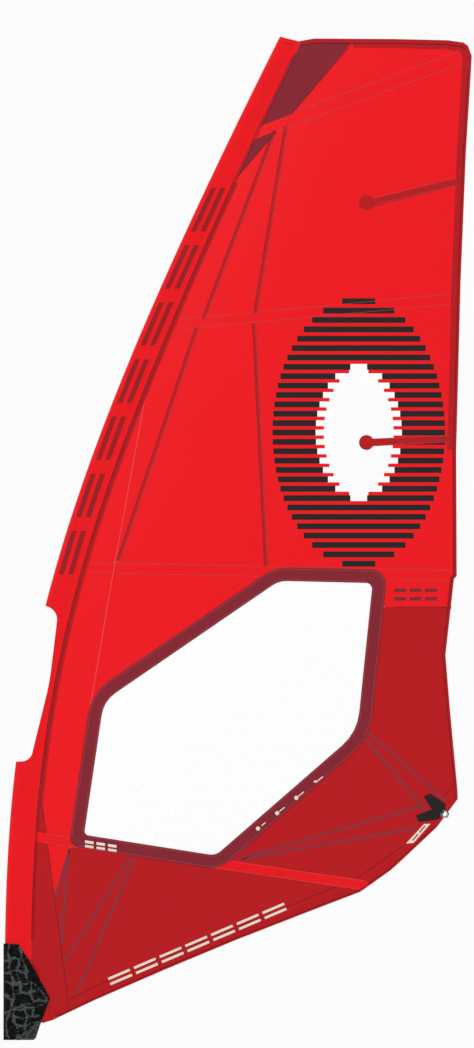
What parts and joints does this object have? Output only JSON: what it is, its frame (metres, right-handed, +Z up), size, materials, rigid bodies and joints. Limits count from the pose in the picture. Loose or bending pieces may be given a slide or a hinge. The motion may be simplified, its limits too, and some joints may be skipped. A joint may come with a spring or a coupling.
{
  "type": "windsurf sail",
  "caption": "Red cambered wave sail with a mast sleeve and boom cut-out, a clear framed window, full battens with screw tensioners, clew rings and a tack block.",
  "frame": {"origin": "on the mast's axis, level with the lower rim of the tack fairing", "axes": "+Z up the mast, +X aft towards the leech, -Y to port, where the camber bulges"},
  "size_m": [1.8733, 0.1085, 4.0137],
  "materials": {
    "red_film": "satin",
    "dark_film": "satin",
    "clear_film": "gloss",
    "maroon_tape": "matte",
    "dark_tape": "matte",
    "red_cloth": "matte",
    "black_webbing": "matte",
    "black_plastic": "satin",
    "sheave_plastic": "satin",
    "ring_steel": "polished",
    "block_steel": "satin",
    "batten_rod": "satin",
    "fairing_pad": "matte"
  },
  "bodies": {
    "root": {"head_panel": "red_film", "upper_panel_front": "red_film", "upper_panel_mid": "red_film", "upper_panel_aft": "red_film", "middle_panel_front": "red_film", "middle_panel_mid": "red_film", "middle_panel_aft": "red_film", "luff_panel_upper": "red_film", "luff_panel_lower": "red_film", "window_gore": "red_film", "leech_patch": "red_film", "tack_gore": "red_film", "leech_panel": "dark_film", "foot_panel": "dark_film", "tack_panel": "dark_film", "window_film": "clear_film", "window_frame": "maroon_tape", "head_patch_upper": "maroon_tape", "head_patch_lower": "maroon_tape", "leech_tape": "dark_tape", "foot_tape": "dark_tape", "foot_batten_band": "red_cloth", "luff_sleeve": "red_cloth", "head_cap": "black_plastic", "clew_webbing_port": "black_webbing", "clew_webbing_starboard": "black_webbing", "tack_webbing": "black_webbing", "fairing_starboard": "fairing_pad", "batten_pocket_1": "red_cloth", "batten_1": "batten_rod", "tensioner_housing_1": "black_plastic", "batten_pocket_2": "red_cloth", "batten_2": "batten_rod", "tensioner_housing_2": "black_plastic", "batten_pocket_3": "red_cloth", "batten_3": "batten_rod", "tensioner_housing_3": "black_plastic", "batten_pocket_4": "red_cloth", "batten_4": "batten_rod", "tensioner_housing_4": "black_plastic", "mini_batten_pocket_1": "dark_tape", "mini_batten_1": "batten_rod", "mini_batten_pocket_2": "dark_tape", "mini_batten_2": "batten_rod"},
    "tensioner_screw_1": {"tensioner_screw_1": "block_steel"},
    "tensioner_cup_1": {"tensioner_cup_1": "black_plastic"},
    "tensioner_screw_2": {"tensioner_screw_2": "block_steel"},
    "tensioner_cup_2": {"tensioner_cup_2": "black_plastic"},
    "tensioner_screw_3": {"tensioner_screw_3": "block_steel"},
    "tensioner_cup_3": {"tensioner_cup_3": "black_plastic"},
    "tensioner_screw_4": {"tensioner_screw_4": "block_steel"},
    "tensioner_cup_4": {"tensioner_cup_4": "black_plastic"},
    "tack_block": {"tack_block_frame": "block_steel", "tack_axle": "block_steel"},
    "tack_sheave_1": {"tack_sheave_1": "sheave_plastic"},
    "tack_sheave_2": {"tack_sheave_2": "sheave_plastic"},
    "tack_sheave_3": {"tack_sheave_3": "sheave_plastic"},
    "fairing_flap": {"fairing_port": "fairing_pad"},
    "clew_ring_port": {"clew_ring_port": "ring_steel"},
    "clew_ring_starboard": {"clew_ring_starboard": "ring_steel"}
  },
  "joints": [
    {"name": "tensioner_screw_1_turn", "type": "hinge", "parent": "root", "child": "tensioner_screw_1", "pos_m": [1.81596, -0.07185, 3.93598], "axis": [0.9387, 0.0063, 0.3447], "range_deg": [0, 1440]},
    {"name": "tensioner_cup_1_slide", "type": "slide", "parent": "root", "child": "tensioner_cup_1", "axis": [0.9387, 0.0063, 0.3447], "range_m": [0, 0.008]},
    {"name": "tensioner_screw_2_turn", "type": "hinge", "parent": "root", "child": "tensioner_screw_2", "pos_m": [1.76765, -0.0598, 2.96397], "axis": [0.9946, 0.047, 0.0921], "range_deg": [0, 1440]},
    {"name": "tensioner_cup_2_slide", "type": "slide", "parent": "root", "child": "tensioner_cup_2", "axis": [0.9946, 0.047, 0.0921], "range_m": [0, 0.008]},
    {"name": "tensioner_screw_3_turn", "type": "hinge", "parent": "root", "child": "tensioner_screw_3", "pos_m": [1.77441, -0.03004, 1.85801], "axis": [0.9967, 0.0788, -0.0215], "range_deg": [0, 1440]},
    {"name": "tensioner_cup_3_slide", "type": "slide", "parent": "root", "child": "tensioner_cup_3", "axis": [0.9967, 0.0788, -0.0215], "range_m": [0, 0.008]},
    {"name": "tensioner_screw_4_turn", "type": "hinge", "parent": "root", "child": "tensioner_screw_4", "pos_m": [1.41942, -0.04307, 0.61809], "axis": [0.9862, 0.078, -0.1463], "range_deg": [0, 1440]},
    {"name": "tensioner_cup_4_slide", "type": "slide", "parent": "root", "child": "tensioner_cup_4", "axis": [0.9862, 0.078, -0.1463], "range_m": [0, 0.008]},
    {"name": "tack_block_swing", "type": "hinge", "parent": "root", "child": "tack_block", "pos_m": [0.054, -0.01165, 0.092], "axis": [0.9769, -0.2135, 0], "range_deg": [-10, 10]},
    {"name": "tack_sheave_1_spin", "type": "hinge", "parent": "tack_block", "child": "tack_sheave_1", "pos_m": [0.054, -0.01165, 0.065], "axis": [0.9769, -0.2135, 0], "continuous": true},
    {"name": "tack_sheave_2_spin", "type": "hinge", "parent": "tack_block", "child": "tack_sheave_2", "pos_m": [0.054, -0.01165, 0.065], "axis": [0.9769, -0.2135, 0], "continuous": true},
    {"name": "tack_sheave_3_spin", "type": "hinge", "parent": "tack_block", "child": "tack_sheave_3", "pos_m": [0.054, -0.01165, 0.065], "axis": [0.9769, -0.2135, 0], "continuous": true},
    {"name": "fairing_flap_open", "type": "hinge", "parent": "root", "child": "fairing_flap", "pos_m": [-0.0263, 0, 0.19], "axis": [0, 0, -1], "range_deg": [0, 150]},
    {"name": "clew_ring_port_swing", "type": "hinge", "parent": "root", "child": "clew_ring_port", "pos_m": [1.72635, -0.02979, 0.91253], "axis": [-0.5944, -0.0583, -0.8021], "range_deg": [0, 80]},
    {"name": "clew_ring_starboard_swing", "type": "hinge", "parent": "root", "child": "clew_ring_starboard", "pos_m": [1.73168, -0.01861, 0.91114], "axis": [0.5944, 0.0583, 0.8021], "range_deg": [0, 80]}
  ],
  "couplings": [
    {"joint": "tensioner_screw_1_turn", "follows": "tensioner_cup_1_slide", "rad_per_m": 3141.6},
    {"joint": "tensioner_screw_2_turn", "follows": "tensioner_cup_2_slide", "rad_per_m": 3141.6},
    {"joint": "tensioner_screw_3_turn", "follows": "tensioner_cup_3_slide", "rad_per_m": 3141.6},
    {"joint": "tensioner_screw_4_turn", "follows": "tensioner_cup_4_slide", "rad_per_m": 3141.6}
  ]
}
